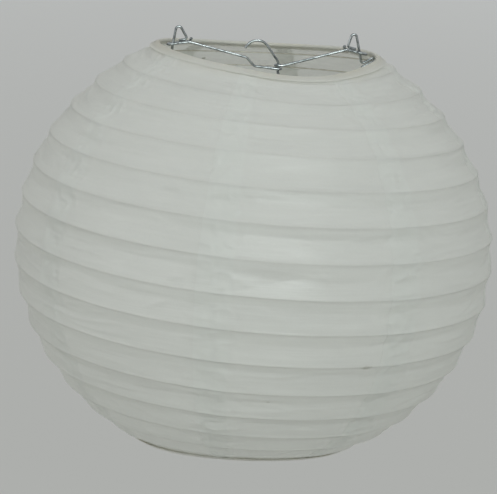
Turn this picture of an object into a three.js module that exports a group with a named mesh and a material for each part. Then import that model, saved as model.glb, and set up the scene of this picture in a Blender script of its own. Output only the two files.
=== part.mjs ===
// A round paper lantern on its wire expander, hanging from the expander's hook.
// Millimetres, +Z up. The origin is the hang point: the inside of the top of the hook.
// The expander lies in the XZ plane. The shade is a flattened globe of eight paper gores
// glued over one spiral rib wire, with a wire ring and a paper hem round each opening.
import * as THREE from 'three';

// ---- the shade ----
const GLOBE_RADIUS = 150;          // rib wire centreline at the widest turn
const GLOBE_HALF_HEIGHT = 138;     // half height of the whole, uncut globe
const OPENING_RADIUS = 68.2;       // centreline of the top and bottom rings
const GORE_COUNT = 8;
const GORE_FACETS = 4;             // flat strips across one gore
const MERIDIAN_STEPS = 16;
const SEAM_GAP = 0.25;             // degrees left open between two neighbouring gores
const FIRST_SEAM = 22.5;           // degrees from +X, seen from above
const RIB_TURNS = 14.875;
const RIB_START = 157.5;           // degrees from +X, on a seam
const RIB_WIRE = 0.4;              // wire radius
const PAPER_CLEARANCE = 1.2;       // rib centreline to the inside of the paper
const PAPER_THICKNESS = 0.3;
const GORE_EDGE = 2.1;             // from the ring's centreline out to the gores' ends
const LAYER_GAP = 0.3;             // between pieces that touch on the real lantern

// ---- the rings, which the expander pushes out of flat ----
const RING_WIRE = 0.8;
const RING_RISE = 1.5;             // at the expander, above the mean ring plane
const RING_BOW = 5;                // from the expander down to the front and the back
const BOW_FADE = 43;               // how far into the shade the bow reaches
const DIP = 2.6;                   // the top ring is bent down further here, at the front
const DIP_AT = 284.5;              // degrees from +X
const DIP_REACH = 50;              // degrees to each side
const HEM_FLAP = 8;                // outer flap of the hem, along the paper
const FLAP_EDGE = 1.4;             // from the ring's centreline out to where the flap starts
const FOLD_FROM = 180;             // degrees round the ring wire, from outwards
const FOLD_TO = 70;
const HEM_STEPS = 3;

// ---- the expander: one bent frame wire, two arms and a hook, all of one gauge ----
const WIRE = 0.8;                  // wire radius
const WIRE_SIDES = 8;
const TIGHT_BEND = 1.2;
const BAR_BEND = 1.4;              // at the ear's inner foot and at the catch
const HAIRPIN = 1.05;              // radius of a hairpin's closed end
const LEG_X = 60.6;                // legs, from the lantern's axis
const EAR_FOOT_X = 60.2;           // the ear's outer leg ends just inside the leg
const CATCH_X = 67.2;              // centre of the hairpin under or over a ring
const CATCH_SLOPE = 0.6;           // the upper catch rises towards the ring
const EAR_INNER_X = 50.5;
const RIGHT_EAR_TOP = [54, 19];    // x and height where the two sides of the ear would meet
const LEFT_EAR_TOP = [57.6, 16.6];
const EAR_BEND = 1.9;
const BAR_END_X = 55.9;            // free end of the bar that closes the ear
const EYE_Z = 2.9;                 // height of the swing axis above the ring plane
const EYE_SLOPE = 0.17;            // eyes and closing bars fall outwards
const EYE_MIDDLE_X = 56.4;         // where an eye crosses the swing axis
const BAR_LIFT = 1.7;              // closing bar above the eye
const EYE_RUN = 1.4;               // half width of an eye between its straight sides
const EYE_WIDE = 2.1;              // radius of an eye's centreline round the ear's leg
const CURL_X = 48.4;               // where an eye's end curls over its arm
const CURL_LIFT = 1.95;            // the curl above the arm, centre to centre

// ---- the hook ----
const HOOK_RADIUS = 8;             // centreline
const HOOK_TIP = 160;              // degrees round the arc, from +X
const HOOK_LEAN = 38;              // where the arc runs on as the straight back
const BACK_BEND = 6;               // from the back into the upright shank
const SHANK_X = 7.3;               // shank, from the lantern's axis
const SHANK_FOOT_Z = -11.3;        // start of the bent foot
const FOOT_LENGTH = 3.2;
const FOOT_BEND = 1.4;
const EYE_CLEAR = 1.9;             // radius of an eye's centreline round the shank
const UPPER_EYE_Z = -7.8;          // right arm's eye
const LOWER_EYE_Z = -10;           // left arm's eye
const EYE_STRAIGHT = 2.5;          // the right arm runs level this far before it climbs to the ear

// ---- the left arm's step and its doubled end, from the lantern's axis ----
const DOUBLED_X = -0.5;
const DOUBLED_RISE = 0.4;
const STEP_FOOT_X = -8.2;
const STEP_RISE = 1.2;             // over the level stretch between the eye and the step
const STEP_TOP_X = -13.4;
const STEP_TOP_Z = -3.6;
const STEP_BEND = 3;

// ---- where it all hangs ----
const AXIS_X = 6.6;                // lantern's axis, to the right of the hang point
const RING_PLANE_Z = -6.2;         // mean plane of the top ring

const radians = THREE.MathUtils.degToRad;
const v3 = (x, y, z) => new THREE.Vector3(x, y, z);
const ringHeight = GLOBE_HALF_HEIGHT * Math.sqrt(1 - (OPENING_RADIUS / GLOBE_RADIUS) ** 2);
const FACETS = GORE_COUNT * GORE_FACETS;

// ---------- materials ----------
const paper = (shade) => new THREE.MeshStandardMaterial({ color: shade, roughness: 0.7 });
const steel = () => new THREE.MeshStandardMaterial({ color: 0xb8bcb8, roughness: 0.25, metalness: 1 });
const ribSteel = () => new THREE.MeshStandardMaterial({ color: 0x8f918c, roughness: 0.45, metalness: 1 });

// ---------- bent wire ----------
// A polyline whose own points are the stations of the sweep, so straight runs stay one step long.
class WirePath extends THREE.Curve {
  constructor(points) {
    super();
    this.points = points;
  }
  getPoint(t, target = new THREE.Vector3()) {
    const place = t * (this.points.length - 1);
    const i = Math.min(Math.floor(place), this.points.length - 2);
    return target.lerpVectors(this.points[i], this.points[i + 1], place - i);
  }
  getUtoTmapping(u) {
    return u;
  }
  getTangent(t, target = new THREE.Vector3()) {
    const last = this.points.length - 1;
    const i = Math.round(t * last);
    const here = this.points[i];
    const before = i > 0 ? here.clone().sub(this.points[i - 1]).normalize() : v3(0, 0, 0);
    const after = i < last ? this.points[i + 1].clone().sub(here).normalize() : v3(0, 0, 0);
    return target.copy(before).add(after).normalize();
  }
}

function wireGeometry(points, radius, sides) {
  const section = new THREE.Shape();
  for (let i = 0; i <= sides; i++) {
    const a = (2 * Math.PI * i) / sides;
    if (i === 0) section.moveTo(radius, 0);
    else section.lineTo(radius * Math.cos(a), radius * Math.sin(a));
  }
  const options = { steps: points.length - 1, bevelEnabled: false, extrudePath: new WirePath(points) };
  return new THREE.ExtrudeGeometry(section, options);
}

// Rounds every inner corner of a route to the bend radius, one step for about 30 degrees of bend.
// `radius` is one number, or a list with one for each inner corner.
function roundCorners(route, radius) {
  const points = [route[0]];
  for (let i = 1; i < route.length - 1; i++) {
    const [a, b, c] = [route[i - 1], route[i], route[i + 1]];
    const inward = a.clone().sub(b).normalize();
    const outward = c.clone().sub(b).normalize();
    const turn = Math.PI - inward.angleTo(outward);
    if (turn < 0.03) {
      points.push(b);
      continue;
    }
    const room = 0.49 * Math.min(a.distanceTo(b), b.distanceTo(c));
    const wanted = Array.isArray(radius) ? radius[i - 1] : radius;
    const setback = Math.min(wanted * Math.tan(turn / 2), room);
    const bendRadius = setback / Math.tan(turn / 2);
    const centre = inward.clone().add(outward).normalize().multiplyScalar(bendRadius / Math.cos(turn / 2)).add(b);
    const spoke = inward.clone().multiplyScalar(setback).add(b).sub(centre);
    const pivot = outward.clone().cross(inward).normalize();
    const steps = Math.max(1, Math.ceil(turn / radians(32)));
    for (let k = 0; k <= steps; k++)
      points.push(spoke.clone().applyAxisAngle(pivot, (turn * k) / steps).add(centre));
  }
  points.push(route[route.length - 1]);
  return points;
}

// An arc of stations round a vertical axis.
function eyeArc(x, z, radius, from, to, steps) {
  return Array.from({ length: steps + 1 }, (_, k) => {
    const a = radians(from + ((to - from) * k) / steps);
    return v3(x + radius * Math.cos(a), radius * Math.sin(a), z);
  });
}

// ---------- shade surfaces ----------
// A point on the globe grown by `offset`, at latitude angle `latitude`.
function globePoint(latitude, offset) {
  return new THREE.Vector2(
    (GLOBE_RADIUS + offset) * Math.cos(latitude), (GLOBE_HALF_HEIGHT + offset) * Math.sin(latitude));
}

function latitudeAtRadius(radius, offset) {
  return Math.acos(radius / (GLOBE_RADIUS + offset));
}

// Depth of the top ring's dip in the direction of (x, y).
function dipAt(x, y) {
  const turned = THREE.MathUtils.radToDeg(Math.atan2(y, x)) - DIP_AT;
  const away = Math.abs(THREE.MathUtils.euclideanModulo(turned + 180, 360) - 180);
  return away < DIP_REACH ? DIP * Math.cos(radians((90 * away) / DIP_REACH)) ** 2 : 0;
}

// How far the pushed-out rings pull a point of the shade up or down.
function bowAt(x, y, z) {
  const reach = THREE.MathUtils.clamp((Math.abs(z) - ringHeight + BOW_FADE) / BOW_FADE, 0, 1);
  const towardsFront = (y * y) / (x * x + y * y);
  const dip = z > 0 ? dipAt(x, y) : 0;
  return Math.sign(z) * (RING_RISE - RING_BOW * towardsFront - dip) * reach ** 1.5;
}

function bowGeometry(geometry) {
  const place = geometry.getAttribute('position');
  for (let i = 0; i < place.count; i++)
    place.setZ(i, place.getZ(i) + bowAt(place.getX(i), place.getY(i), place.getZ(i)));
  return geometry;
}

// A closed outline in (radius, height) swept about Z between two angles, with both ends capped.
function sweptSector(outline, from, to, steps) {
  const positions = [];
  const index = [];
  const n = outline.length;
  for (let s = 0; s <= steps; s++) {
    const a = from + ((to - from) * s) / steps;
    for (const p of outline) positions.push(p.x * Math.cos(a), p.x * Math.sin(a), p.y);
  }
  for (let s = 0; s < steps; s++)
    for (let i = 0; i < n; i++) {
      const [a, b] = [s * n + i, s * n + ((i + 1) % n)];
      index.push(a, b + n, b, a, a + n, b + n);
    }
  const end = steps * n;
  for (const [a, b, c] of THREE.ShapeUtils.triangulateShape(outline, [])) {
    index.push(a, b, c);
    index.push(end + a, end + c, end + b);
  }
  const geometry = new THREE.BufferGeometry();
  geometry.setAttribute('position', new THREE.Float32BufferAttribute(positions, 3));
  geometry.setIndex(index);
  return geometry;
}

// One gore: a strip of paper from the top opening to the bottom one.
function goreGeometry(k) {
  const inner = PAPER_CLEARANCE;
  const outer = PAPER_CLEARANCE + PAPER_THICKNESS;
  const edge = latitudeAtRadius(OPENING_RADIUS + GORE_EDGE, inner);
  const latitudes = Array.from({ length: MERIDIAN_STEPS + 1 }, (_, i) => edge - (2 * edge * i) / MERIDIAN_STEPS);
  const outline = [
    ...latitudes.map((a) => globePoint(a, inner)),
    ...latitudes.reverse().map((a) => globePoint(a, outer)),
  ];
  const width = 360 / GORE_COUNT;
  const from = radians(FIRST_SEAM + k * width + SEAM_GAP / 2);
  const to = radians(FIRST_SEAM + (k + 1) * width - SEAM_GAP / 2);
  return bowGeometry(sweptSector(outline, from, to, GORE_FACETS));
}

// The rib wire: evenly spaced turns down the meridian, starting and ending beside a ring.
function ribGeometry() {
  const edge = latitudeAtRadius(OPENING_RADIUS, 0);
  const samples = Array.from({ length: 401 }, (_, i) => globePoint(edge - (2 * edge * i) / 400, 0));
  const travelled = [0];
  for (let i = 1; i < samples.length; i++)
    travelled.push(travelled[i - 1] + samples[i].distanceTo(samples[i - 1]));
  const endClearance = RING_WIRE + RIB_WIRE + LAYER_GAP;
  const usable = travelled[travelled.length - 1] - 2 * endClearance;
  const stations = Math.round(RIB_TURNS * FACETS);
  const points = [];
  for (let s = 0; s <= stations; s++) {
    const along = endClearance + (usable * s) / stations;
    const i = Math.max(1, travelled.findIndex((d) => d >= along));
    const share = (along - travelled[i - 1]) / (travelled[i] - travelled[i - 1]);
    const p = samples[i - 1].clone().lerp(samples[i], share);
    const a = radians(RIB_START) + (2 * Math.PI * s) / FACETS;
    const [x, y] = [p.x * Math.cos(a), p.x * Math.sin(a)];
    points.push(v3(x, y, p.y + bowAt(x, y, p.y)));
  }
  return wireGeometry(points, RIB_WIRE, 5);
}

function ringGeometry(side) {
  const ring = new THREE.TorusGeometry(OPENING_RADIUS, RING_WIRE, 6, FACETS);
  ring.translate(0, 0, side * ringHeight);
  return bowGeometry(ring);
}

// The hem folds over the ring wire and lies on the outside of the gores.
function hemGeometry(side) {
  const inside = RING_WIRE + LAYER_GAP;
  const outside = inside + PAPER_THICKNESS;
  const flapInner = PAPER_CLEARANCE + PAPER_THICKNESS + LAYER_GAP;
  const flapOuter = flapInner + PAPER_THICKNESS;
  const foldArc = (radius, from, to) => Array.from({ length: 5 }, (_, i) => {
    const a = radians(from + ((to - from) * i) / 4);
    return new THREE.Vector2(OPENING_RADIUS + radius * Math.cos(a), ringHeight + radius * Math.sin(a));
  });
  const start = latitudeAtRadius(OPENING_RADIUS + FLAP_EDGE, flapInner);
  const flap = (offset) => Array.from({ length: HEM_STEPS + 1 }, (_, i) =>
    globePoint(start - (HEM_FLAP / GLOBE_RADIUS) * (i / HEM_STEPS), offset));
  const outline = [
    ...foldArc(inside, FOLD_FROM, FOLD_TO), ...flap(flapInner),
    ...flap(flapOuter).reverse(), ...foldArc(outside, FOLD_TO, FOLD_FROM),
  ];
  if (side < 0) {
    for (const p of outline) p.y = -p.y;
    outline.reverse();
  }
  outline.push(outline[0].clone());
  const hem = new THREE.LatheGeometry(outline, FACETS);
  hem.rotateX(Math.PI / 2);
  return bowGeometry(hem);
}

// ---------- expander ----------
const eyeHeight = (x) => EYE_Z - EYE_SLOPE * (x - EYE_MIDDLE_X);
const topCatchZ = RING_RISE - RING_WIRE - LAYER_GAP - WIRE;
const bottomCatchZ = -2 * ringHeight - topCatchZ;

// Right half of the frame wire, from the free end of the ear's closing bar down to the foot.
function frameHalf([earTopX, earTopZ]) {
  const legTop = topCatchZ - CATCH_SLOPE * (CATCH_X - LEG_X);
  const upper = roundCorners([
    v3(BAR_END_X, 0, eyeHeight(BAR_END_X) + BAR_LIFT),
    v3(EAR_INNER_X, 0, eyeHeight(EAR_INNER_X) + BAR_LIFT),
    v3(earTopX, 0, earTopZ),
    v3(EAR_FOOT_X, 0, legTop),
    v3(CATCH_X, 0, topCatchZ),
  ], [BAR_BEND, EAR_BEND, BAR_BEND]);
  const lower = roundCorners([
    v3(CATCH_X, 0, topCatchZ - 2 * HAIRPIN),
    v3(LEG_X, 0, legTop - 2 * HAIRPIN),
    v3(LEG_X, 0, bottomCatchZ + 2 * HAIRPIN),
    v3(CATCH_X, 0, bottomCatchZ + 2 * HAIRPIN),
  ], TIGHT_BEND);
  return [...upper, ...hairpinEnd(topCatchZ - HAIRPIN), ...lower, ...hairpinEnd(bottomCatchZ + HAIRPIN),
    v3(CATCH_X, 0, bottomCatchZ)];
}

// The closed end of a hairpin in the frame's plane, between its upper and its lower run.
function hairpinEnd(z) {
  return [60, 30, 0, -30, -60].map((degrees) =>
    v3(CATCH_X + HAIRPIN * Math.cos(radians(degrees)), 0, z + HAIRPIN * Math.sin(radians(degrees))));
}

function frameGeometry() {
  const right = frameHalf(RIGHT_EAR_TOP);
  const left = frameHalf(LEFT_EAR_TOP).map((p) => v3(-p.x, 0, p.z)).reverse();
  return wireGeometry([...right, ...left], WIRE, WIRE_SIDES);
}

// The long eye at an arm's outer end, round the ear's outer leg, closed by a curl over the arm.
// `side` is 1 for the right arm and -1 for the left one.
function outerEye(side) {
  const at = (x, y, lift = 0) => v3(side * x, y, eyeHeight(x) + lift);
  const turnRound = [-90, -60, -30, 0, 30, 60, 90].map((degrees) => {
    const a = radians(degrees);
    return at(LEG_X + EYE_WIDE * Math.cos(a), EYE_WIDE * Math.sin(a));
  });
  return [
    at(EAR_INNER_X - 1, -EYE_RUN), at(LEG_X - 4.6, -EYE_RUN), at(LEG_X - 3.2, -EYE_WIDE), ...turnRound,
    at(LEG_X - 3.2, EYE_WIDE), at(LEG_X - 4.6, EYE_RUN), at(EAR_INNER_X + 0.2, EYE_RUN),
    at(CURL_X + 0.4, EYE_RUN, 0.3), at(CURL_X, EYE_RUN - 0.4, 1.2), at(CURL_X, 0.3, CURL_LIFT),
    at(CURL_X, -1.6, CURL_LIFT),
  ];
}

// Ends in a closed eye round the hook's shank, above the left arm's.
function rightArmGeometry() {
  const eye = eyeArc(SHANK_X, UPPER_EYE_Z, EYE_CLEAR, 20, 270, 9);
  const level = v3(SHANK_X + EYE_STRAIGHT, -EYE_CLEAR, UPPER_EYE_Z);
  return wireGeometry([...eye, level, ...outerEye(1)], WIRE, WIRE_SIDES);
}

// Steps down near the middle, goes round the shank and doubles back along itself.
function leftArmGeometry() {
  const eye = eyeArc(SHANK_X, LOWER_EYE_Z, EYE_CLEAR, -90, 90, 6);
  const doubled = v3(DOUBLED_X, EYE_CLEAR, LOWER_EYE_Z + DOUBLED_RISE);
  const step = roundCorners([
    v3(SHANK_X - 0.6, -EYE_CLEAR, LOWER_EYE_Z), v3(STEP_FOOT_X, -EYE_CLEAR, LOWER_EYE_Z + STEP_RISE),
    v3(STEP_TOP_X, -EYE_CLEAR, STEP_TOP_Z), outerEye(-1)[0],
  ], STEP_BEND);
  step.pop();
  return wireGeometry([doubled, ...eye.reverse(), ...step, ...outerEye(-1)], WIRE, WIRE_SIDES);
}

// Arc, straight back, upright shank through both eyes, and a foot bent forwards under them.
function hookGeometry() {
  const centre = v3(0, 0, -(HOOK_RADIUS - WIRE));
  const onArc = (degrees) => {
    const a = radians(degrees);
    return v3(centre.x + HOOK_RADIUS * Math.cos(a), 0, centre.z + HOOK_RADIUS * Math.sin(a));
  };
  const arc = Array.from({ length: 10 }, (_, i) => onArc(HOOK_TIP + ((HOOK_LEAN - HOOK_TIP) * i) / 9));
  const shankX = AXIS_X + SHANK_X;
  const leave = arc[arc.length - 1];
  const lean = radians(HOOK_LEAN);
  const drop = ((shankX - leave.x) / Math.sin(lean)) * Math.cos(lean);
  const footZ = RING_PLANE_Z + SHANK_FOOT_Z;
  const back = roundCorners([
    leave, v3(shankX, 0, leave.z - drop), v3(shankX, 0, footZ - FOOT_BEND),
    v3(shankX, -FOOT_LENGTH, footZ - FOOT_BEND),
  ], [BACK_BEND, FOOT_BEND]);
  return wireGeometry([...arc, ...back.slice(1)], WIRE, WIRE_SIDES);
}

// ---------- assembly ----------
const lantern = new THREE.Group();
const shade = new THREE.Group();
shade.position.set(AXIS_X, 0, RING_PLANE_Z - ringHeight);
const expander = new THREE.Group();
expander.position.set(AXIS_X, 0, RING_PLANE_Z);
lantern.add(shade, expander);

function add(group, name, geometry, material) {
  const mesh = new THREE.Mesh(geometry, material);
  mesh.name = name;
  group.add(mesh);
}

for (let k = 0; k < GORE_COUNT; k++)
  add(shade, `paper_gore_${k + 1}`, goreGeometry(k), paper(k % 2 ? 0xe4e6df : 0xdfe3dc));
add(shade, 'rib_spiral', ribGeometry(), ribSteel());
add(shade, 'top_ring', ringGeometry(1), ribSteel());
add(shade, 'bottom_ring', ringGeometry(-1), ribSteel());
add(shade, 'top_hem', hemGeometry(1), paper(0xdedccb));
add(shade, 'bottom_hem', hemGeometry(-1), paper(0xdedccb));
add(expander, 'expander_frame', frameGeometry(), steel());
add(expander, 'left_arm', leftArmGeometry(), steel());
add(expander, 'right_arm', rightArmGeometry(), steel());
add(lantern, 'hook', hookGeometry(), steel());

export default lantern;
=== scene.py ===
"""Looks for a round paper lantern on its wire expander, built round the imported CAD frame.

Blender 4.5, metres, +Z up, in the part's own frame: the origin is the hang point, and the
expander lies in the XZ plane. Angles about Z are in degrees from +X, seen from above.
"""
import math

import bpy
import numpy as np
from mathutils import Matrix, Vector


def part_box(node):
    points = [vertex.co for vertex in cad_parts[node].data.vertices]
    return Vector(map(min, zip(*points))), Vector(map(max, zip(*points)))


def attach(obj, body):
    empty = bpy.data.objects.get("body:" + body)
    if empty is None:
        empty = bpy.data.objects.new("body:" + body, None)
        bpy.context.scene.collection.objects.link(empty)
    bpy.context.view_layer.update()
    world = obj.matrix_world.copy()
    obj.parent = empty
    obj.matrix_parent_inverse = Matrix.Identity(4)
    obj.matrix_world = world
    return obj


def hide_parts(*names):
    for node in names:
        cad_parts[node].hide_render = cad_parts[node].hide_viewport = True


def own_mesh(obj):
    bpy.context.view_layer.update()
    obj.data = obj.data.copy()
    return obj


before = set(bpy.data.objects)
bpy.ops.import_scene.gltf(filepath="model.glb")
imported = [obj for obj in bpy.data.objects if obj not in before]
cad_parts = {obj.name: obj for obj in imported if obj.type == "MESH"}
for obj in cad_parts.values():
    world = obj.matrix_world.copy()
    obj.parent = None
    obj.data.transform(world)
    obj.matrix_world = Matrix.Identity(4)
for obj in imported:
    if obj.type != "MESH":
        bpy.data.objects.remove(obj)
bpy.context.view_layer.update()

# ---- the shade, as in the CAD part ----
GLOBE_RADIUS = 0.150             # rib wire centreline at the widest turn
GLOBE_HALF_HEIGHT = 0.138        # half height of the whole, uncut globe
OPENING_RADIUS = 0.0682          # centreline of the two rings
GORE_COUNT = 8
GORE_WIDTH = 360 / GORE_COUNT
FIRST_SEAM = 22.5
RIB_TURNS = 14.875
RIB_START = 157.5
RIB_WIRE = 0.0004                # wire radius
RING_WIRE = 0.0008
RING_RISE = 0.0015               # rings at the expander, above their mean plane
RING_BOW = 0.005                 # from the expander down to the front and the back
BOW_FADE = 0.043
DIP = 0.0026                     # the top ring is bent down further here, at the front
DIP_AT = 284.5
DIP_REACH = 50                   # degrees to each side
END_CLEARANCE = 0.0015           # ring centreline to the first and last turn of the rib

# ---- the paper ----
PAPER = 0.00014                  # thickness shown
LAP = 8                          # degrees that a gore runs on under the next one
LAP_LIFT = 0.00016               # the upper layer's step at a seam
LAP_FADE = 4                     # degrees over which that step dies away
GORE_EDGE = 0.0007               # ring centreline to the gores' ends
OVER_RIB = 0.00052               # rib centreline to the paper on its crest
BEAD = 0.00035                   # how far the paper dips beside the rib wire
BEAD_WIDTH = 0.0009
SAG = 0.0019                     # hollow of the paper between two turns of the rib
WRINKLE = 0.00085                # height of the fine wrinkles along the ribs
CRUMPLE = 0.00062                # and of the crumples beside the seams
CRUMPLE_REACH = 0.02             # to each side of a seam
COLUMN_STEP = 0.5                # degrees
NARROW_COLUMN = 0.02             # degrees, at a gore's two long edges
LEAST_PAPER = 0.0003             # between a gore's end and the nearest line of the rib
HEM_OUTER = 0.0055               # flap of the hem on the outside
HEM_INNER = 0.005
HEM_OFFSET = RING_WIRE + 0.00025
HEM_EDGE_OFFSET = 0.00086        # of the outer flap's edge, which lies down on the gores
HEM_START = 0.00005              # of a flap, below the fold
FOLD_RIPPLE = 0.00006            # unevenness of the fold over the ring
FLAP_RIPPLE = 0.00008            # and of a flap's edge
FLAP_CRINKLE = 0.00016           # crests between the fold and the edge
PAINTED_SHADOW_AT = 271                    # painted shadow: the bottom fold is painted dark here, under the ring
PAINTED_SHADOW_REACH = 10                  # degrees to each side

# ---- the expander and the hook, as in the CAD part ----
WIRE = 0.0008                    # wire radius
CATCH_GAP = 0.0003               # from a catch's wire to the ring
TIGHT_BEND = 0.0012
HAIRPIN = 0.00105
LEG_X = 0.0606
EAR_FOOT_X = 0.0602
CATCH_X = 0.0672
CATCH_SLOPE = 0.6
EAR_INNER_X = 0.0505
RIGHT_EAR_TOP = (0.054, 0.019)
LEFT_EAR_TOP = (0.0576, 0.0166)
EAR_BEND = 0.0019
BAR_BEND = 0.0014
BAR_END_X = 0.0559
EYE_Z = 0.0029
EYE_SLOPE = 0.17
EYE_MIDDLE_X = 0.0564
BAR_LIFT = 0.0017
EYE_RUN = 0.0014
EYE_WIDE = 0.0021
EYE_NECK = 0.0046                # from the leg to where the eye starts to widen
EYE_SHOULDER = 0.0032            # and to where it is at its widest
CURL_X = 0.0484
CURL_LIFT = 0.00195
HOOK_RADIUS = 0.008
HOOK_TIP = 160
HOOK_LEAN = 38
BACK_BEND = 0.006
SHANK_X = 0.0073
SHANK_FOOT_Z = -0.0113
FOOT_LENGTH = 0.0032
FOOT_BEND = 0.0014
EYE_CLEAR = 0.0019
UPPER_EYE_Z = -0.0078
LOWER_EYE_Z = -0.010
EYE_STRAIGHT = 0.0025
DOUBLED_X = -0.0005
DOUBLED_RISE = 0.0004
STEP_FOOT_X = -0.0082
STEP_RISE = 0.0012
STEP_TOP_X = -0.0134
STEP_TOP_Z = -0.0036
STEP_BEND = 0.003

# ---- places taken from the frame ----
ring_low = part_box("bottom_ring")[0]
ring_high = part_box("top_ring")[1]
CENTRE = (ring_low + ring_high) / 2      # of the shade
CENTRE.x = (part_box("top_ring")[0].x + ring_high.x) / 2
CENTRE.y = 0
RING_HEIGHT = GLOBE_HALF_HEIGHT * math.sqrt(1 - (OPENING_RADIUS / GLOBE_RADIUS) ** 2)
RING_PLANE_Z = CENTRE.z + RING_HEIGHT


# ---------- meshes ----------
def mesh_object(name, vertices, faces, uv=None, attributes=None):
    """A smooth mesh object. uv is one (u, v) for each vertex, in metres along the surface."""
    mesh = bpy.data.meshes.new(name)
    mesh.from_pydata(np.asarray(vertices, float).reshape(-1, 3).tolist(), [], faces)
    mesh.shade_smooth()
    corner_vertex = np.empty(len(mesh.loops), np.int32)
    mesh.loops.foreach_get("vertex_index", corner_vertex)
    if uv is not None:
        layer = mesh.uv_layers.new(name="surface")
        layer.data.foreach_set("uv", np.asarray(uv, np.float32).reshape(-1, 2)[corner_vertex].ravel())
    for key, values in (attributes or {}).items():
        attribute = mesh.attributes.new(key, "FLOAT", "POINT")
        attribute.data.foreach_set("value", np.asarray(values, np.float32).ravel())
    made = bpy.data.objects.new(name, mesh)
    bpy.context.scene.collection.objects.link(made)
    return made


def grid_faces(rows, columns):
    """Quads of a grid stored row by row, whose last column joins its first."""
    r = np.arange(rows - 1)[:, None]
    c = np.arange(columns)[None, :]
    following = (c + 1) % columns
    quads = [r * columns + c, r * columns + following, (r + 1) * columns + following, (r + 1) * columns + c]
    return np.stack(np.broadcast_arrays(*quads), -1).reshape(-1, 4)


def paper_sheet(name, points, uv, attributes=None, wrap=False, flip=False):
    """A closed sheet of paper round a grid of points, half of its thickness on each side.

    With wrap, the last row joins the first. The first and last rows or columns of a grid should
    be narrow ones, because the shading turns over the cut edges there.
    """
    rows, columns = points.shape[:2]
    index = np.arange(rows * columns).reshape(rows, columns)
    if wrap:
        index = np.vstack([index, index[:1]])
    quads = np.stack([index[:-1, :-1], index[:-1, 1:], index[1:, 1:], index[1:, :-1]], -1).reshape(-1, 4)
    edges = [(index[:-1, -1], index[1:, -1]), (index[1:, 0], index[:-1, 0])]
    if not wrap:
        edges += [(index[0, :-1], index[0, 1:]), (index[-1, 1:], index[-1, :-1])]
    a, b = (np.concatenate(ends) for ends in zip(*edges))
    if flip:
        quads, a, b = quads[:, ::-1], b, a
    middle = points.reshape(-1, 3)
    facing = np.cross(middle[quads[:, 2]] - middle[quads[:, 0]], middle[quads[:, 3]] - middle[quads[:, 1]])
    normals = np.zeros_like(middle)
    for corner in range(4):
        np.add.at(normals, quads[:, corner], facing)
    half = normals / np.linalg.norm(normals, axis=1)[:, None] * PAPER / 2
    count = len(middle)
    rim = np.stack([b, a, a + count, b + count], -1)
    faces = np.vstack([quads, quads[:, ::-1] + count, rim])
    uv = uv.reshape(-1, 2)
    doubled = {key: np.tile(np.ravel(values), 2) for key, values in (attributes or {}).items()}
    both_sides = np.vstack([middle + half, middle - half])
    return mesh_object(name, both_sides, faces.tolist(), np.vstack([uv, uv]), doubled)


def with_narrow_ends(values, width):
    """The same stations, with one more close to each end."""
    return np.concatenate([[values[0], values[0] + width], values[1:-1], [values[-1] - width, values[-1]]])


def tube(name, points, radius, sides=16):
    """Round wire along a list of points, with lightly rounded cut ends."""
    path = np.asarray([tuple(p) for p in points], float)
    steps = np.diff(path, axis=0)
    lengths = np.linalg.norm(steps, axis=1)
    unit = steps / lengths[:, None]
    tangents = np.vstack([unit[:1], unit[:-1] + unit[1:], unit[-1:]])
    tangents /= np.linalg.norm(tangents, axis=1)[:, None]
    side = np.cross(tangents[0], (0.13, 0.97, 0.2))
    along = np.concatenate([[0], np.cumsum(lengths)])
    end_round = 0.3 * radius
    angles = np.linspace(0, 2 * math.pi, sides, endpoint=False)
    rings, uv = [], []

    def ring(centre, across, up, grown, travelled):
        rings.append(centre + grown * (np.outer(np.cos(angles), across) + np.outer(np.sin(angles), up)))
        uv.append(np.column_stack([angles * radius, np.full(sides, travelled)]))

    for i, (place, tangent) in enumerate(zip(path, tangents)):
        side = side - tangent * side.dot(tangent)
        side /= np.linalg.norm(side)
        up = np.cross(tangent, side)
        if i == 0:
            ring(place, side, up, radius - end_round, 0)
            ring(place + tangent * end_round, side, up, radius, end_round)
        elif i == len(path) - 1:
            ring(place - tangent * end_round, side, up, radius, along[i] - end_round)
            ring(place, side, up, radius - end_round, along[i])
        else:
            ring(place, side, up, radius, along[i])
    faces = grid_faces(len(rings), sides).tolist()
    last = (len(rings) - 1) * sides
    faces.append(list(range(sides))[::-1])
    faces.append(list(range(last, last + sides)))
    made = mesh_object(name, np.vstack(rings), faces, np.vstack(uv))
    for cap in made.data.polygons[-2:]:
        cap.use_smooth = False
    return made


# ---------- smooth seeded noise ----------
LATTICE = np.random.default_rng(20261117).uniform(-1, 1, (521, 67))


def wave_noise(u, v, layer):
    """Smooth noise from -1 to 1 on a plane, one pattern for each whole number `layer`."""
    u = np.asarray(u, float) + 17.3 * layer
    v = np.asarray(v, float) + 9.7 * layer
    i, j = np.floor(u).astype(int), np.floor(v).astype(int)
    fu, fv = u - i, v - j
    fu, fv = fu * fu * (3 - 2 * fu), fv * fv * (3 - 2 * fv)
    corner = lambda a, b: LATTICE[(i + a) % LATTICE.shape[0], (j + b) % LATTICE.shape[1]]
    top = corner(0, 0) * (1 - fu) + corner(1, 0) * fu
    bottom = corner(0, 1) * (1 - fu) + corner(1, 1) * fu
    return top * (1 - fv) + bottom * fv


def ridges(u, v, layer):
    """Sharp crests, 0 to 1, where the smooth noise crosses zero."""
    return 1 - np.minimum(1, 2.4 * np.abs(wave_noise(u, v, layer)))


def eased(x):
    x = np.clip(x, 0, 1)
    return x * x * (3 - 2 * x)


def wrapped(degrees):
    """The same angle between -180 and 180."""
    return (degrees + 180) % 360 - 180


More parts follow.
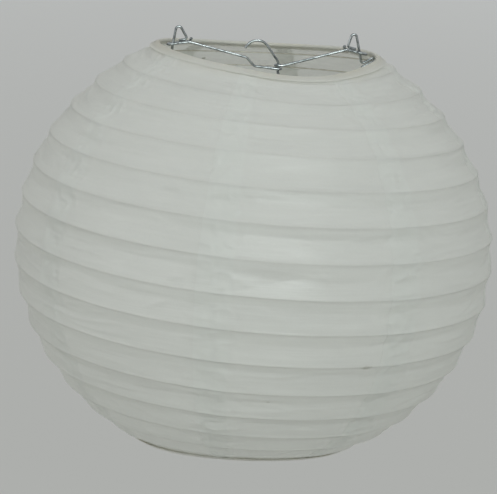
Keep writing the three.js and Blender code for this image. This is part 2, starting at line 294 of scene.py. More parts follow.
# ---------- the shade's surface ----------
def meridian():
    """Distance along a rib-level meridian from the top ring, and the latitude there."""
    edge = math.acos(OPENING_RADIUS / GLOBE_RADIUS)
    latitude = np.linspace(edge, -edge, 2001)
    r, z = GLOBE_RADIUS * np.cos(latitude), GLOBE_HALF_HEIGHT * np.sin(latitude)
    travelled = np.concatenate([[0], np.cumsum(np.hypot(np.diff(r), np.diff(z)))])
    return travelled, latitude


TRAVELLED, LATITUDE = meridian()
MERIDIAN_LENGTH = TRAVELLED[-1]
PITCH = (MERIDIAN_LENGTH - 2 * END_CLEARANCE) / RIB_TURNS


def shade_points(degrees, travelled, offset):
    """Points of the shade, `offset` outside the rib's centreline, with the rings' bow."""
    # Past either end the surface runs straight on.
    beyond = travelled - np.clip(travelled, 0, MERIDIAN_LENGTH)
    latitude = np.interp(travelled, TRAVELLED, LATITUDE) - beyond / GLOBE_RADIUS
    a = np.radians(degrees)
    r = (GLOBE_RADIUS + offset) * np.cos(latitude)
    x, y = r * np.cos(a), r * np.sin(a)
    z = (GLOBE_HALF_HEIGHT + offset) * np.sin(latitude)
    return np.stack([x + CENTRE.x, y, z + bow(a, z) + CENTRE.z], -1)


def ring_lift(a, top):
    """How far a ring is pushed out of its mean plane at the angle `a`, in radians."""
    away = np.abs(wrapped(np.degrees(a) - DIP_AT))
    dip = DIP * np.cos(np.radians(90 * np.minimum(away / DIP_REACH, 1))) ** 2
    return RING_RISE - RING_BOW * np.sin(a) ** 2 - np.where(top, dip, 0)


def bow(a, z):
    """How far the pushed-out rings pull a point of the shade up or down."""
    reach = np.clip((np.abs(z) - RING_HEIGHT + BOW_FADE) / BOW_FADE, 0, 1)
    return np.sign(z) * ring_lift(a, z > 0) * reach ** 1.5


def slack(share):
    """How free the paper is at a share of the way between its two held lines: 0 on them, 1 half way."""
    return (4 * share * (1 - share)) ** 0.6


def band_rows():
    """Places between two turns of the rib, 0 to 1, closer together beside the wire."""
    beside = np.array([0, 0.00045, 0.00095, 0.0016, 0.0026]) / PITCH
    middle = np.linspace(beside[-1], 1 - beside[-1], 17)[1:-1]
    return np.concatenate([beside, middle, 1 - beside[::-1]])[:-1]


# A fold is its centre (degrees, turn of the rib), length, slant, depth and width.
LONG_FOLD = (266, 6.85, 0.078, -14, -0.0010, 0.0045)     # the one that crosses the front
FOLD_COUNT = 270                 # small ones, all over the shade
SEAM_FOLD_COUNT = 6              # sharper ones beside each seam, on the middle turns


def slanting_folds():
    """Every slanting fold of the shade."""
    random = np.random.default_rng(400)
    folds = [LONG_FOLD]
    for _ in range(FOLD_COUNT):
        degrees = random.uniform(0, 360)
        turn = random.uniform(1, RIB_TURNS - 1)
        length = random.uniform(0.012, 0.035)
        slant = random.choice([-1, 1]) * random.uniform(8, 38)
        depth = random.choice([-1, 1]) * random.uniform(0.0002, 0.0005)
        folds.append((degrees, turn, length, slant, depth, random.uniform(0.001, 0.003)))
    for k in range(GORE_COUNT):
        seam = FIRST_SEAM + k * GORE_WIDTH
        for _ in range(SEAM_FOLD_COUNT):
            degrees = seam + random.uniform(-10, 4)
            turn = random.uniform(5.4, 9)
            length = random.uniform(0.013, 0.03)
            slant = -random.uniform(5, 45)
            depth = random.choice([-1, 1]) * random.uniform(0.0004, 0.0007)
            folds.append((degrees, turn, length, slant, depth, random.uniform(0.0012, 0.0025)))
    return folds


SLANTING_FOLDS = slanting_folds()


def creased(degrees, turn_number, arc):
    """Height of the slanting creases at points of one gore."""
    middle = degrees.mean()
    raised = np.zeros_like(arc)
    for centre, turn, length, slant, depth, width in SLANTING_FOLDS:
        if abs(wrapped(centre - middle)) > GORE_WIDTH:
            continue
        u = wrapped(degrees - centre) * arc
        v = (turn_number - turn) * PITCH
        c, s = math.cos(math.radians(slant)), math.sin(math.radians(slant))
        along, across = u * c + v * s, -u * s + v * c
        reach = eased(1 - np.abs(along) / (length / 2))
        raised += depth * reach * np.exp(-np.abs(across) / width)
    return raised


def rib_lines(columns, start):
    """The rib's lines on a gore: part of a turn at each column, whole turns, and distances down."""
    turned = ((start - RIB_START) % 360 + columns - start) / 360
    low, high = GORE_EDGE + LEAST_PAPER, MERIDIAN_LENGTH - GORE_EDGE - LEAST_PAPER
    own = columns <= start + GORE_WIDTH + 1e-6
    numbers, lines = [], []
    for number in range(math.ceil(RIB_TURNS) + 1):
        line = END_CLEARANCE + PITCH * (turned + number)
        if line[own][0] > low and line[own][-1] < high:
            numbers.append(number)
            lines.append(np.clip(line, low, high))
    return turned, numbers, lines


def gore_surface(k):
    """Grid of points, uv and seam mask of gore k, from its own seam to its end under the next gore. The
    seam mask marks the lap, which the material paints lighter: painted light.

    All the creasing is worked out along the spiral, so that both layers of a lap have the same shape.
    """
    start = FIRST_SEAM + k * GORE_WIDTH
    columns = np.linspace(start, start + GORE_WIDTH + LAP, round((GORE_WIDTH + LAP) / COLUMN_STEP) + 1)
    columns = with_narrow_ends(columns, NARROW_COLUMN)
    turned, numbers, lines = rib_lines(columns, start)
    lines = [np.full_like(columns, GORE_EDGE), *lines, np.full_like(columns, MERIDIAN_LENGTH - GORE_EDGE)]
    tops = [numbers[0] - 1, *numbers]
    travelled, share, gap, spiral, beside = [], [], [], [], []
    far = np.full_like(columns, 1.0)
    for upper, lower, top in zip(lines[:-1], lines[1:], tops):
        for f in band_rows():
            travelled.append(upper + f * (lower - upper))
            share.append(np.full_like(columns, f))
            gap.append(lower - upper)
            spiral.append(turned + top)
            to_upper = f * (lower - upper) if top != tops[0] else far
            to_lower = (1 - f) * (lower - upper) if top != tops[-1] else far
            beside.append(np.minimum(to_upper, to_lower))
    travelled.append(lines[-1])
    share.append(np.ones_like(columns))
    gap.append(gap[-1])
    spiral.append(spiral[-1])
    beside.append(far)
    travelled, share, gap, spiral, beside = map(np.array, (travelled, share, gap, spiral, beside))
    degrees = np.broadcast_to(columns, travelled.shape)

    latitude = np.interp(travelled, TRAVELLED, LATITUDE)
    arc = np.radians(1) * GLOBE_RADIUS * np.cos(latitude)      # metres across for one degree
    along = spiral * 2 * math.pi * GLOBE_RADIUS                 # metres along the spiral
    down = share * gap                                          # metres down from its upper line
    fullness = np.clip(gap / PITCH, 0, 1)
    held = slack(share)
    turn_number = (travelled - END_CLEARANCE) / PITCH

    # The hollow: two nearly flat faces that meet in a fold, which wanders and softens.
    fold = 0.38 + 0.12 * wave_noise(along / 0.055, 3.1, 1) + 0.14 * wave_noise(along / 0.15, 6.4, 1)
    sharp = 11 + 6 * wave_noise(along / 0.04, 2.3, 2)
    x, y = share / fold, (1 - share) / (1 - fold)
    hollow = -np.log(np.exp(-sharp * x) + np.exp(-sharp * y)) / sharp
    hollow = np.clip(hollow, 0, None) * eased(6 * held)
    depth = SAG * (1 + 0.3 * wave_noise(along / 0.05, 1.7, 3))
    offset = -depth * hollow * fullness ** 2

    # Fine wrinkles that run along the ribs, stronger in patches.
    drift = 0.9 * wave_noise(along / 0.045, down / 0.02, 4)
    patch = 0.35 + 0.65 * eased(0.5 + wave_noise(along / 0.06, down / 0.03, 5))
    wrinkle = 0.55 * ridges(along / 0.050, down / 0.0052 + drift, 6)
    wrinkle += 0.3 * ridges(along / 0.030, down / 0.0031 + 2 * drift, 15)
    wrinkle += 0.35 * wave_noise(along / 0.022, down / 0.004 + drift, 24)
    offset += WRINKLE * (wrinkle - 0.4) * patch * held * fullness

    # Crumples beside the seams.
    seam = FIRST_SEAM + LAP / 2
    from_seam = np.abs((degrees - seam + GORE_WIDTH / 2) % GORE_WIDTH - GORE_WIDTH / 2)
    near = eased(1.15 - from_seam * arc / CRUMPLE_REACH)
    crumple = ridges(along / 0.009, down / 0.006, 33) + 0.6 * wave_noise(along / 0.005, down / 0.005, 42)
    offset += CRUMPLE * (crumple - 0.3) * near * held * fullness
    offset += creased(degrees, turn_number, arc) * held

    offset += OVER_RIB - BEAD * (1 - np.exp(-(beside / BEAD_WIDTH) ** 2))
    offset += LAP_LIFT * (1 - eased((degrees - start - LAP) / LAP_FADE))
    # Mask of the lap, for painted light: the material paints the double layer lighter.
    painted_lap_light = 1 - eased((degrees - start - LAP + 0.5) / 1.0)
    points = shade_points(degrees, travelled, offset)
    uv = np.stack([np.radians(degrees) * GLOBE_RADIUS, travelled], -1)
    return points, uv, painted_lap_light


def fold_flat(piece, body="lower_shade"):
    """Rides on a body, with a mesh of its own.
    """
    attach(piece, body)
    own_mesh(piece)


def make_gores(material):
    """The eight gores. The hem strips are glued along their ends."""
    for k in range(GORE_COUNT):
        points, uv, painted_lap_light = gore_surface(k)
        gore = paper_sheet(f"gore_{k + 1}", points, uv, {"painted_lap_light": painted_lap_light}, flip=True)
        gore.data.materials.append(material)
        fold_flat(gore)
        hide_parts(f"paper_gore_{k + 1}")


def make_rib(material):
    stations = round(RIB_TURNS * 120)
    turned = np.linspace(0, RIB_TURNS, stations + 1)
    points = shade_points(RIB_START + 360 * turned, END_CLEARANCE + PITCH * turned, 0)
    rib = tube("rib", points, RIB_WIRE, sides=10)
    rib.data.materials.append(material)
    fold_flat(rib)
    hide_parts("rib_spiral")


# ---------- rings and hems ----------
BACK = 90                        # where the texture round a ring starts and ends, in degrees


def ring_section(degrees, side, section_angle, radius):
    """Points on a tube of `radius` round a ring wire. Section angle 0 faces outwards."""
    a = np.radians(degrees)
    p = np.radians(section_angle)
    r = OPENING_RADIUS + radius * np.cos(p)
    z = side * (RING_HEIGHT + radius * np.sin(p))
    x, y = r * np.cos(a), r * np.sin(a)
    lift = side * ring_lift(a, side > 0)
    return np.stack([x + CENTRE.x, y + 0 * z, z + lift + CENTRE.z], -1)


def make_ring(name, side, body, material):
    steps, sides = 192, 14
    degrees = BACK + np.linspace(0, 360, steps, endpoint=False)[:, None]
    section = np.linspace(0, 360, sides, endpoint=False)[None, :]
    points = ring_section(degrees, side, section, RING_WIRE)
    index = np.arange(steps * sides).reshape(steps, sides)
    quads = [index, np.roll(index, -1, 1), np.roll(np.roll(index, -1, 0), -1, 1), np.roll(index, -1, 0)]
    faces = np.stack(quads, -1).reshape(-1, 4)
    if side > 0:
        faces = faces[:, ::-1]
    across = np.radians(section) * RING_WIRE + 0 * degrees
    along = np.radians(degrees) * OPENING_RADIUS + 0 * section
    ring = mesh_object(name, points, faces.tolist(), np.stack([across, along], -1))
    ring.data.materials.append(material)
    fold_flat(ring, body)
    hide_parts(name.replace("_wire", ""))


WALL_NORMAL = math.degrees(math.atan2(
    GLOBE_RADIUS * math.sqrt(1 - (OPENING_RADIUS / GLOBE_RADIUS) ** 2),
    GLOBE_HALF_HEIGHT * OPENING_RADIUS / GLOBE_RADIUS))


def strip(name, points, length_along, painted_shadow, flip, material):
    """A closed paper strip all the way round, from a grid of points with one row for each step round."""
    around = np.linspace(0, 2 * math.pi * OPENING_RADIUS, len(points))[:, None] + 0 * length_along
    uv = np.stack([around, length_along + 0 * around], -1)
    # The mask of the bottom fold's painted shadow goes on as an attribute.
    made = paper_sheet(name, points, uv, {"painted_shadow": painted_shadow + 0 * around}, wrap=True, flip=flip)
    made.data.materials.append(material)
    return made


def make_hem(name, side, body, material):
    """Paper folded over a ring: the fold itself, and its two flaps, which stay on the shade."""
    steps = 360
    degrees = BACK + np.linspace(0, 360, steps, endpoint=False)[:, None]
    wander = wave_noise(degrees / 9, side, 51)
    ripple = wave_noise(degrees / 3.5, side, 52)
    # Painted shadow: a dark line on the bottom fold at the front, fading out to each side.
    painted_shadow = eased(1.6 - np.abs(wrapped(degrees - PAINTED_SHADOW_AT)) / PAINTED_SHADOW_REACH) * (side < 0)

    fold_angles = with_narrow_ends(np.linspace(WALL_NORMAL, WALL_NORMAL + 180, 13), 1)[None, :]
    fold = ring_section(degrees, side, fold_angles, HEM_OFFSET + FOLD_RIPPLE * ripple)
    length = np.radians(fold_angles - WALL_NORMAL) * HEM_OFFSET
    piece = strip(name + "_fold", fold, length, painted_shadow, side > 0, material)
    fold_flat(piece, body)
    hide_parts(name)
    made = [piece]

    from_side = lambda travelled: travelled if side > 0 else MERIDIAN_LENGTH - travelled
    # The outer flap lies on the gores; the inner one stops short at the expander's catches.
    catch = eased((np.abs(np.sin(np.radians(degrees))) - 0.045) / 0.03)
    flaps = (
        ("_outer", HEM_OUTER * (1 + 0.07 * wander), HEM_OFFSET, HEM_EDGE_OFFSET, 1),
        ("_inner", HEM_INNER * (0.12 + 0.88 * catch) * (1 + 0.1 * wander), -HEM_OFFSET, -HEM_OFFSET, -1),
    )
    for suffix, reach, at_ring, at_edge, facing in flaps:
        share = with_narrow_ends(np.linspace(0, 1, 17), 0.008)[None, :]
        travelled = HEM_START + share * reach
        offset = at_ring + (at_edge - at_ring) * eased(share)
        crinkle = ridges(degrees / 14, share / 0.3 + 0.5 * wander, 60)
        lift = FLAP_RIPPLE * ripple * share + FLAP_CRINKLE * crinkle * slack(share)
        points = shade_points(degrees + 0 * share, from_side(travelled), offset + facing * lift)
        piece = strip(name + suffix, points, travelled, 0 * painted_shadow, side * facing < 0, material)
        fold_flat(piece)
        made.append(piece)
    return made


# ---------- bent wire ----------
def at(x, y, z):
    return Vector((x, y, z))


def rounded(route, radius, step=9):
    """The route with its corners rounded, where there is room. Radius is one for all, or a list."""
    points = [route[0]]
    radii = radius if isinstance(radius, list) else [radius] * len(route)
    for a, b, c, wanted in zip(route, route[1:], route[2:], radii):
        inward, outward = (a - b).normalized(), (c - b).normalized()
        turn = math.pi - inward.angle(outward)
        if turn < 0.01:
            points.append(b)
            continue
        setback = min(wanted * math.tan(turn / 2), 0.49 * min((a - b).length, (c - b).length))
        bend = setback / math.tan(turn / 2)
        centre = b + (inward + outward).normalized() * (bend / math.cos(turn / 2))
        spoke = b + inward * setback - centre
        pivot = outward.cross(inward).normalized()
        steps = max(2, math.ceil(math.degrees(turn) / step))
        for i in range(steps + 1):
            points.append(Matrix.Rotation(turn * i / steps, 3, pivot) @ spoke + centre)
    points.append(route[-1])
    return points


def arc(x, z, radius, start, end, step=10):
    """Stations round a vertical axis."""
    count = max(2, round(abs(end - start) / step))
    angles = [math.radians(start + (end - start) * i / count) for i in range(count + 1)]
    return [at(x + radius * math.cos(a), radius * math.sin(a), z) for a in angles]


def eye_height(x):
    return EYE_Z - EYE_SLOPE * (x - EYE_MIDDLE_X)


def hairpin_end(z):
    angles = [math.radians(80 - 10 * i) for i in range(17)]
    return [at(CATCH_X + HAIRPIN * math.cos(a), 0, z + HAIRPIN * math.sin(a)) for a in angles]


def frame_half(ear_top_x, ear_top_z):
    """Right half of the frame wire, from the free end of the ear's closing bar to the foot."""
    top_catch = RING_RISE - RING_WIRE - CATCH_GAP - WIRE
    bottom_catch = -2 * RING_HEIGHT - top_catch
    leg_top = top_catch - CATCH_SLOPE * (CATCH_X - LEG_X)
    upper = rounded([
        at(BAR_END_X, 0, eye_height(BAR_END_X) + BAR_LIFT),
        at(EAR_INNER_X, 0, eye_height(EAR_INNER_X) + BAR_LIFT),
        at(ear_top_x, 0, ear_top_z),
        at(EAR_FOOT_X, 0, leg_top),
        at(CATCH_X, 0, top_catch),
    ], [BAR_BEND, EAR_BEND, BAR_BEND])
    lower = rounded([
        at(CATCH_X, 0, top_catch - 2 * HAIRPIN),
        at(LEG_X, 0, leg_top - 2 * HAIRPIN),
        at(LEG_X, 0, bottom_catch + 2 * HAIRPIN),
        at(CATCH_X, 0, bottom_catch + 2 * HAIRPIN),
    ], TIGHT_BEND)
    foot = hairpin_end(bottom_catch + HAIRPIN)
    return [*upper, *hairpin_end(top_catch - HAIRPIN), *lower, *foot, at(CATCH_X, 0, bottom_catch)]


def outer_eye(side):
    """The long eye at an arm's outer end, round the ear's outer leg, closed by a curl over the arm."""
    place = lambda x, y, lift=0.0: at(side * x, y, eye_height(x) + lift)
    turn_round = []
    for degrees in range(-90, 91, 10):
        a = math.radians(degrees)
        turn_round.append(place(LEG_X + EYE_WIDE * math.cos(a), EYE_WIDE * math.sin(a)))
    return [
        place(EAR_INNER_X - 0.001, -EYE_RUN),
        place(LEG_X - EYE_NECK, -EYE_RUN),
        place(LEG_X - EYE_SHOULDER, -EYE_WIDE),
        *turn_round,
        place(LEG_X - EYE_SHOULDER, EYE_WIDE),
        place(LEG_X - EYE_NECK, EYE_RUN),
        place(EAR_INNER_X + 0.0002, EYE_RUN),
        place(CURL_X + 0.0004, EYE_RUN, 0.0003),
        place(CURL_X, EYE_RUN - 0.0004, 0.0012),
        place(CURL_X, 0.0003, CURL_LIFT),
        place(CURL_X, -0.0016, CURL_LIFT),
    ]


def right_arm_route():
    eye = arc(SHANK_X, UPPER_EYE_Z, EYE_CLEAR, 20, 270)
    level = at(SHANK_X + EYE_STRAIGHT, -EYE_CLEAR, UPPER_EYE_Z)
    return rounded([*eye, level, *outer_eye(1)], TIGHT_BEND)


def left_arm_route():
    eye = arc(SHANK_X, LOWER_EYE_Z, EYE_CLEAR, -90, 90)
    doubled = at(DOUBLED_X, EYE_CLEAR, LOWER_EYE_Z + DOUBLED_RISE)
    step = rounded([
        at(SHANK_X - 0.0006, -EYE_CLEAR, LOWER_EYE_Z),
        at(STEP_FOOT_X, -EYE_CLEAR, LOWER_EYE_Z + STEP_RISE),
        at(STEP_TOP_X, -EYE_CLEAR, STEP_TOP_Z),
        outer_eye(-1)[0],
    ], STEP_BEND)
    return rounded([doubled, *eye[::-1], *step[:-1], *outer_eye(-1)], TIGHT_BEND)


def hook_route():
    """In the part's own frame: arc, straight back, upright shank and the foot bent forwards."""
    on_arc = lambda degrees: at(
        HOOK_RADIUS * math.cos(math.radians(degrees)), 0,
        WIRE - HOOK_RADIUS + HOOK_RADIUS * math.sin(math.radians(degrees)))
    bend = [on_arc(HOOK_TIP + (HOOK_LEAN - HOOK_TIP) * i / 20) for i in range(21)]
    shank = CENTRE.x + SHANK_X
    drop = (shank - bend[-1].x) / math.tan(math.radians(HOOK_LEAN))
    foot = RING_PLANE_Z + SHANK_FOOT_Z - FOOT_BEND
    back = rounded([
        bend[-1],
        at(shank, 0, bend[-1].z - drop),
        at(shank, 0, foot),
        at(shank, -FOOT_LENGTH, foot),
    ], [BACK_BEND, FOOT_BEND])
    return [*bend, *back[1:]]


def make_wire(name, node, body, route, material):
    wire = tube(name, route, WIRE)
    wire.data.materials.append(material)
    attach(wire, body)
    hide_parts(node)


def make_expander(material):
    to_frame = Vector((CENTRE.x, 0, RING_PLANE_Z))
    right = frame_half(*RIGHT_EAR_TOP)
    left = [at(-p.x, 0, p.z) for p in reversed(frame_half(*LEFT_EAR_TOP))]
    routes = (
        ("frame_wire", "expander_frame", "expander", right + left),
        ("left_arm_wire", "left_arm", "crossbar", left_arm_route()),
        ("right_arm_wire", "right_arm", "crossbar", right_arm_route()),
    )
    for name, node, body, route in routes:
        make_wire(name, node, body, [p + to_frame for p in route], material)
    make_wire("hook_wire", "hook", "hook", hook_route(), material)


# ---------- materials ----------
LET_THROUGH = 0.58               # share of the light that passes each face of the paper
# Marks of age on the shade: degrees, turn of the rib, width, height, strength.
MARKS = (
    (288.8, 9.40, 0.0075, 0.0028, 0.42),
    (266.1, 10.67, 0.0028, 0.0018, 0.30),
    (106.9, 1.29, 0.0034, 0.0034, 0.75),
)


class Nodes:
    """A material's node tree, with short ways to add to it."""

    def __init__(self, name):
        self.material = bpy.data.materials.new(name)
        self.material.use_nodes = True
        self.tree = self.material.node_tree
        self.tree.nodes.clear()

    def add(self, kind, inputs=None, **settings):
        made = self.tree.nodes.new("ShaderNode" + kind)
        for key, value in settings.items():
            setattr(made, key, value)
        for key, value in (inputs or {}).items():
            if isinstance(value, bpy.types.NodeSocket):
                self.tree.links.new(value, made.inputs[key])
            else:
                made.inputs[key].default_value = value
        return made

    def noise(self, vector, scale, detail=3.0, roughness=0.55):
        inputs = {"Vector": vector, "Scale": scale, "Detail": detail, "Roughness": roughness}
        return self.add("TexNoise", inputs).outputs["Fac"]

    def stretched(self, vector, scale):
        return self.add("Mapping", {"Vector": vector, "Scale": scale}).outputs[0]

    def span(self, value, low, high, to_low, to_high):
        made = self.add("MapRange", {"Value": value, "From Min": low, "From Max": high,
                                     "To Min": to_low, "To Max": to_high})
        return made.outputs[0]

    def maths(self, operation, a, b=0.0):
        return self.add("Math", {0: a, 1: b}, operation=operation).outputs[0]

    def mix(self, factor, a, b, blend="MIX"):
        made = self.add("Mix", {0: factor, 6: a, 7: b}, data_type="RGBA", blend_type=blend)
        return made.outputs[2]

    def bump(self, height, distance, strength=1.0, normal=None):
        inputs = {"Height": height, "Distance": distance, "Strength": strength}
        if normal is not None:
            inputs["Normal"] = normal
        return self.add("Bump", inputs).outputs[0]

    def spot(self, surface, degrees, turn, width, height):
        """A ragged spot on the shade, 1 inside and 0 outside."""
        travelled = END_CLEARANCE + PITCH * turn
        narrowed = math.cos(np.interp(travelled, TRAVELLED, LATITUDE))
        centre = (math.radians(degrees) * GLOBE_RADIUS, travelled, 0)
        away = self.add("VectorMath", {0: surface, 1: centre}, operation="SUBTRACT").outputs[0]
        scale = (2 * narrowed / width, 2 / height, 0)
        away = self.add("VectorMath", {0: away, 1: scale}, operation="MULTIPLY").outputs[0]
        reach = self.add("VectorMath", {0: away}, operation="LENGTH").outputs["Value"]
        ragged = self.maths("ADD", reach, self.span(self.noise(surface, 900.0), 0.3, 0.7, -0.3, 0.3))
        return self.span(ragged, 0.45, 1.15, 1.0, 0.0)

    def finish(self, shader):
        self.add("OutputMaterial", {"Surface": shader})
        return self.material


def tissue(n, body_colour, warm_colour, warm_reach, warm_most):
    """Colour of thin white tissue, with fibres and streaks, and the bumps that go with it."""
    surface = n.add("UVMap", uv_map="surface").outputs[0]
    clouds = n.noise(surface, 14.0, 2.0)
    fibres = n.noise(surface, 620.0, 5.0, 0.7)
    streaks = n.noise(n.stretched(surface, (26.0, 420.0, 1.0)), 1.0, 4.0, 0.6)
    long_streaks = n.noise(n.stretched(surface, (9.0, 120.0, 1.0)), 1.0, 3.0)

    duller = [c * 0.965 for c in body_colour[:3]] + [1]
    tone = n.mix(n.span(clouds, 0.3, 0.7, 0.0, 1.0), body_colour, duller)
    tone = n.mix(n.span(fibres, 0.35, 0.75, 0.0, 0.35), tone, (0.95, 0.96, 0.93, 1))
    tone = n.mix(n.span(streaks, 0.45, 0.75, 0.0, 0.28), tone, (0.97, 0.98, 0.96, 1))
    tone = n.mix(n.span(long_streaks, 0.3, 0.5, 0.16, 0.0), tone, (0.70, 0.71, 0.69, 1))
    travelled = n.add("SeparateXYZ", {0: surface}).outputs[1]
    to_end = n.maths("MINIMUM", travelled, n.maths("SUBTRACT", MERIDIAN_LENGTH, travelled))
    warmth = n.span(to_end, 0.001, warm_reach, warm_most, 0.0)
    warmth = n.maths("MULTIPLY", warmth, n.span(clouds, 0.4, 0.6, 0.2, 1.0))
    tone = n.mix(warmth, tone, warm_colour)

    normal = n.bump(long_streaks, 0.0007, 0.4)
    normal = n.bump(streaks, 0.0003, 0.5, normal)
    normal = n.bump(fibres, 0.00006, 0.5, normal)
    return surface, tone, n.span(long_streaks, 0.35, 0.7, 0.34, 0.50), normal


def paper_shader(n, tone, roughness, normal):
    """A satin face. Light crosses both faces of a sheet, so about a third of it comes through."""
    face = n.add("BsdfPrincipled", {
        "Base Color": tone,
        "Roughness": roughness,
        "Specular IOR Level": 1.0,
        "IOR": 1.6,
        "Normal": normal,
    })
    glow = n.mix(0.7, tone, (0.97, 0.965, 0.945, 1))
    through = n.add("BsdfTranslucent", {"Color": glow, "Normal": normal})
    return n.add("MixShader", {0: LET_THROUGH, 1: face.outputs[0], 2: through.outputs[0]}).outputs[0]


def shade_material():
    """The gores' paper: painted lighter where two layers lap, as painted light for the double layer, with
    three small marks of age.
    """
    n = Nodes("white_tissue")
    surface, tone, roughness, normal = tissue(n, (0.86, 0.872, 0.85, 1), (0.83, 0.80, 0.70, 1), 0.012, 0.45)
    painted_lap_light = n.add("Attribute", attribute_name="painted_lap_light").outputs["Fac"]
    # Painted light: the lap is painted lighter, for the extra light that a double layer sends back.
    tone = n.mix(n.maths("MULTIPLY", painted_lap_light, 0.5), tone, (0.93, 0.95, 0.93, 1))
    for degrees, turn, width, height, strength in MARKS:
        mark = n.maths("MULTIPLY", n.spot(surface, degrees, turn, width, height), strength)
        tone = n.mix(mark, tone, (0.16, 0.15, 0.07, 1))
    return n.finish(paper_shader(n, tone, roughness, normal))


def hem_material():
    """The hems' paper, creamier from the glue, with a painted shadow: the bottom fold is painted dark at
    the front.
    """
    n = Nodes("cream_hem_tissue")
    _, tone, roughness, normal = tissue(n, (0.86, 0.865, 0.83, 1), (0.82, 0.79, 0.68, 1), 0.006, 0.5)
    painted_shadow = n.add("Attribute", attribute_name="painted_shadow").outputs["Fac"]
    # Painted shadow: the bottom fold is painted dark at the front.
    tone = n.mix(n.maths("MULTIPLY", painted_shadow, 0.85), tone, (0.10, 0.10, 0.08, 1))
    return n.finish(paper_shader(n, tone, roughness, normal))


def wire_material(name, colour, dark_zinc_and_reflection, roughness):
    """Drawn, galvanised steel wire: dark lines along its length and a clouded zinc face, painted darker in
    part as a painted reflection of the dark room.
    """
    n = Nodes(name)
    surface = n.add("UVMap", uv_map="surface").outputs[0]
    drawn_lines_and_reflection = n.noise(n.stretched(surface, (2600.0, 60.0, 1.0)), 1.0, 3.0)
    clouds = n.noise(n.stretched(surface, (500.0, 220.0, 1.0)), 1.0, 3.0)
    # Partly painted reflection: clouds and drawn lines darken the steel towards the dark tone, standing in
    # for dark reflections along the wire.
    tone = n.mix(n.span(clouds, 0.4, 0.65, 0.0, 0.75), colour, dark_zinc_and_reflection)
    tone = n.mix(n.span(drawn_lines_and_reflection, 0.45, 0.65, 0.0, 0.6), tone, dark_zinc_and_reflection)
    normal = n.bump(drawn_lines_and_reflection, 0.00002, 0.5)
    normal = n.bump(clouds, 0.00004, 0.35, normal)
    face = n.add("BsdfPrincipled", {
        "Base Color": tone,
        "Metallic": 1.0,
        "Roughness": n.span(clouds, 0.3, 0.7, roughness * 0.8, roughness * 1.35),
        "Normal": normal,
    })
    return n.finish(face.outputs[0])


# ---------- camera, light and floor ----------
CAMERA_AZIMUTH = -10.5
CAMERA_ELEVATION = 12.47
CAMERA_DISTANCE = 1.300
CAMERA_ROLL = 4.21               # the lantern leans clockwise by this much in the picture
AIM_LEFT = 0.0031                # of the shade's centre
AIM_BELOW = 0.0013
LENS = 148.6
FLOOR_Z = -1.5


def direction(azimuth, elevation):
    """Unit vector from the lantern. Azimuth 0 is -Y, and 90 is +X."""
    a, e = math.radians(azimuth), math.radians(elevation)
    return Vector((math.sin(a) * math.cos(e), -math.cos(a) * math.cos(e), math.sin(e)))


def make_camera():
    back = direction(CAMERA_AZIMUTH, CAMERA_ELEVATION)
    level_right = Vector((0, 0, 1)).cross(back).normalized()
    level_up = back.cross(level_right)
    roll = math.radians(CAMERA_ROLL)
    right = level_right * math.cos(roll) + level_up * math.sin(roll)
    up = level_up * math.cos(roll) - level_right * math.sin(roll)
    place = CENTRE + back * CAMERA_DISTANCE
    aim = CENTRE - right * AIM_LEFT - up * AIM_BELOW
    backward = (place - aim).normalized()
    right = up.cross(backward).normalized()
    up = backward.cross(right)
    camera = bpy.data.objects.new("camera", bpy.data.cameras.new("camera"))
    bpy.context.scene.collection.objects.link(camera)
    camera.matrix_world = Matrix.Translation(place) @ Matrix((right, up, backward)).transposed().to_4x4()
    camera.data.lens = LENS
    camera.data.clip_end = 200
    bpy.context.scene.camera = camera


def softbox(name, azimuth, elevation, distance, size, power, colour=(1, 1, 1)):
    """A square area light that faces the lantern. Azimuth is from the camera's side."""
    light = bpy.data.lights.new(name, "AREA")
    light.size = size
    light.energy = power
    light.color = colour
    lamp = bpy.data.objects.new(name, light)
    bpy.context.scene.collection.objects.link(lamp)
    away = direction(CAMERA_AZIMUTH + azimuth, elevation)
    lamp.location = CENTRE + away * distance
    lamp.rotation_mode = "QUATERNION"
    lamp.rotation_quaternion = away.to_track_quat("Z", "Y")


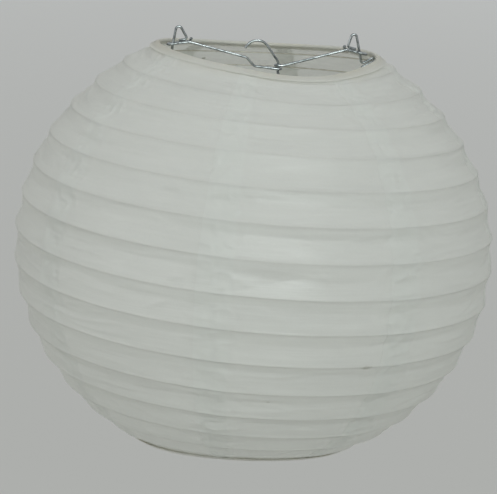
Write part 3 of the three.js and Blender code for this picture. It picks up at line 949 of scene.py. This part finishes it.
def make_floor():
    steps = 96
    radii = [0.001, 2, 4, 7, 12, 20, 35, 60]
    angles = np.linspace(0, 2 * math.pi, steps, endpoint=False)
    points = [[(r * math.cos(a), r * math.sin(a), FLOOR_Z) for a in angles] for r in radii]
    floor = mesh_object("floor", points, grid_faces(len(radii), steps)[:, ::-1].tolist())
    n = Nodes("floor_paint")
    place = n.add("TexCoord").outputs["Object"]
    out = n.add("VectorMath", {0: place}, operation="LENGTH").outputs["Value"]
    # Painted light and shade: the floor is painted darker near the lantern and lighter far off, as the fall
    # of light across it.
    painted_falloff = n.span(out, 4.0, 18.0, 0.0, 1.0)
    tone = n.mix(painted_falloff, (0.65, 0.655, 0.63, 1), (0.79, 0.80, 0.79, 1))
    grain = n.noise(place, 3.0, 4.0)
    tone = n.mix(n.span(grain, 0.3, 0.7, 0.0, 0.05), tone, (0.7, 0.7, 0.7, 1))
    face = n.add("BsdfPrincipled", {"Base Color": tone, "Roughness": 0.9})
    floor.data.materials.append(n.finish(face.outputs[0]))


def make_world():
    """Soft grey room light, darker towards the horizon, so that the wires have dark edges."""
    world = bpy.data.worlds.new("room")
    world.use_nodes = True
    bpy.context.scene.world = world
    tree = world.node_tree
    tree.nodes.clear()
    place = tree.nodes.new("ShaderNodeTexCoord")
    axes = tree.nodes.new("ShaderNodeSeparateXYZ")
    ramp = tree.nodes.new("ShaderNodeMapRange")
    shade = tree.nodes.new("ShaderNodeBackground")
    out = tree.nodes.new("ShaderNodeOutputWorld")
    tree.links.new(place.outputs["Generated"], axes.inputs[0])
    tree.links.new(axes.outputs[2], ramp.inputs["Value"])
    ramp.inputs["From Min"].default_value = 0.0
    ramp.inputs["From Max"].default_value = 0.9
    ramp.inputs["To Min"].default_value = 0.40
    ramp.inputs["To Max"].default_value = 0.71
    shade.inputs["Color"].default_value = (0.985, 1.0, 1.0, 1)
    tree.links.new(ramp.outputs[0], shade.inputs["Strength"])
    tree.links.new(shade.outputs[0], out.inputs["Surface"])


def make_stage():
    make_floor()
    make_world()
    softbox("key_light", 12, 21, 2.0, 1.0, 9.3, (0.90, 1.0, 0.97))
    softbox("wire_light", 22, 33, 2.0, 0.25, 1.8)
    softbox("left_fill", -60, 5, 2.4, 1.2, 5)


# ---------- the object ----------
shade_paper = shade_material()
hem_paper = hem_material()
bright_steel = wire_material("galvanised_wire", (0.58, 0.62, 0.63, 1), (0.05, 0.06, 0.065, 1), 0.12)
dull_steel = wire_material("rib_wire", (0.80, 0.78, 0.71, 1), (0.62, 0.60, 0.53, 1), 0.45)

make_camera()
make_rib(dull_steel)
make_ring("top_ring_wire", 1, "upper_ring", dull_steel)
make_ring("bottom_ring_wire", -1, "lower_shade", dull_steel)
top_hem = make_hem("top_hem", 1, "upper_ring", hem_paper)
bottom_hem = make_hem("bottom_hem", -1, "lower_shade", hem_paper)
make_gores(shade_paper)
make_expander(bright_steel)
make_stage()

bpy.context.scene.view_settings.view_transform = "Standard"
